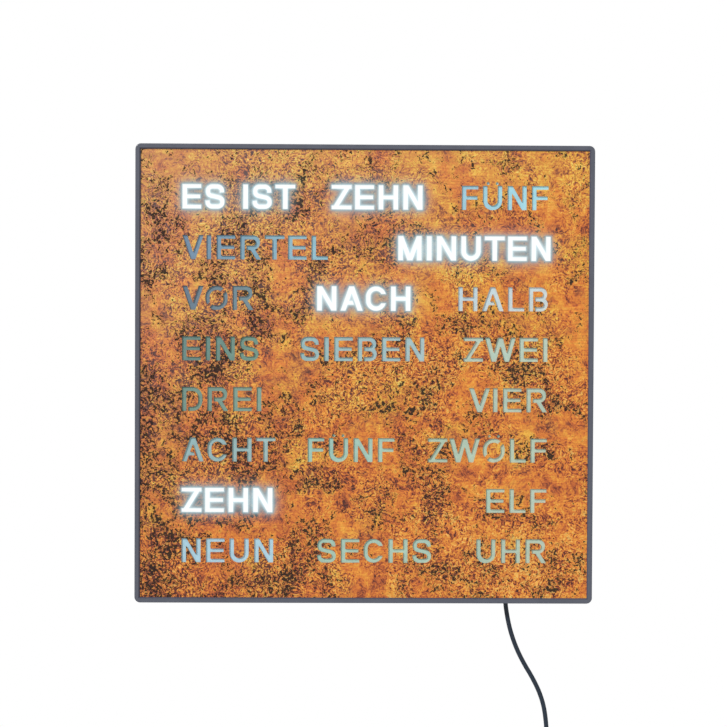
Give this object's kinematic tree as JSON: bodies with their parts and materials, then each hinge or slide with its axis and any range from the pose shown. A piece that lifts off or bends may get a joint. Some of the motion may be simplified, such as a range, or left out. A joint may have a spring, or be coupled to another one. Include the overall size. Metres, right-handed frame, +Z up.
{
  "type": "word clock",
  "caption": "Square wall-hung word clock: stencil number words lit through a patinated metal face in a slim dark frame, with a power cord and plug-in supply.",
  "frame": {"origin": "middle of the back cover's rear face, on the wall plane", "axes": "the face looks along -Y, the wall is the plane Y = 0, +Z is up and +X is to the viewer's right"},
  "size_m": [0.4, 0.036, 0.675],
  "materials": {
    "frame_metal": "satin dark slate",
    "face_metal": "mottled copper and rust patina",
    "opal_plastic": "opal",
    "grid_board": "matt black",
    "strip_board": "white solder mask",
    "lamp_plastic": "white with a yellowish lens",
    "carrier_plastic": "matt white",
    "block_aluminium": "sawn",
    "cover_metal": "matt dark grey",
    "screw_steel": "zinc plated",
    "tray_plastic": "fine texture",
    "circuit_board": "green solder mask",
    "chip_plastic": "moulded",
    "can_metal": "drawn",
    "capacitor_ceramic": "fired",
    "cell_steel": "polished",
    "contact_metal": "nickel plated",
    "button_rubber": "soft matt",
    "plug_rubber": "soft matt",
    "cord_rubber": "smooth sheath",
    "tie_plastic": "matt",
    "supply_plastic": "fine texture",
    "ferrite": "wound ferrite"
  },
  "bodies": {
    "clock": {"frame": "frame_metal", "face_plate": "face_metal", "diffuser_sheet": "opal_plastic", "light_grid": "grid_board", "light_strip_row_1": "strip_board", "light_strip_row_2": "strip_board", "light_strip_row_3": "strip_board", "light_strip_row_4": "strip_board", "light_strip_row_5": "strip_board", "light_strip_row_6": "strip_board", "light_strip_row_7": "strip_board", "light_strip_row_8": "strip_board", "strip_lamps": "lamp_plastic", "strip_links": "strip_board", "strip_carrier": "carrier_plastic", "mounting_blocks": "block_aluminium", "back_cover": "cover_metal", "cover_screws": "screw_steel", "keyhole_plates": "screw_steel", "connector_bay": "tray_plastic", "bay_screws": "screw_steel", "controller_board": "circuit_board", "board_standoffs": "contact_metal", "board_screws": "screw_steel", "microcontroller": "chip_plastic", "clock_chip": "chip_plastic", "clock_crystal": "can_metal", "voltage_regulator": "chip_plastic", "power_capacitors": "can_metal", "ceramic_capacitors": "capacitor_ceramic", "coin_cell_holder": "chip_plastic", "coin_cell": "cell_steel", "strip_connector": "carrier_plastic", "strip_cable": "plug_rubber", "dc_jack_housing": "chip_plastic", "dc_jack_contact": "contact_metal", "button_switches": "chip_plastic", "dc_plug_barrel": "contact_metal", "dc_plug_grip": "plug_rubber", "power_cord_drop": "cord_rubber", "power_cord_coil": "cord_rubber", "power_cord_tail": "cord_rubber", "cord_tie": "tie_plastic", "adapter_base": "supply_plastic", "adapter_cover": "supply_plastic", "adapter_pins": "contact_metal", "adapter_strain_relief": "plug_rubber", "adapter_board": "circuit_board", "adapter_transformer": "ferrite"},
    "hour_button": {"hour_button_plunger": "carrier_plastic", "hour_button_cap": "button_rubber"},
    "minute_button": {"minute_button_plunger": "carrier_plastic", "minute_button_cap": "button_rubber"},
    "brightness_button": {"brightness_button_plunger": "carrier_plastic", "brightness_button_cap": "button_rubber"}
  },
  "joints": [
    {"name": "hour_button_press", "type": "slide", "parent": "clock", "child": "hour_button", "axis": [0, 0, 1], "range_m": [0, 0.001], "stiffness_N_per_m": 1500, "springref_m": -0.0005},
    {"name": "minute_button_press", "type": "slide", "parent": "clock", "child": "minute_button", "axis": [0, 0, 1], "range_m": [0, 0.001], "stiffness_N_per_m": 1500, "springref_m": -0.0005},
    {"name": "brightness_button_press", "type": "slide", "parent": "clock", "child": "brightness_button", "axis": [0, 0, 1], "range_m": [0, 0.001], "stiffness_N_per_m": 1500, "springref_m": -0.0005}
  ]
}
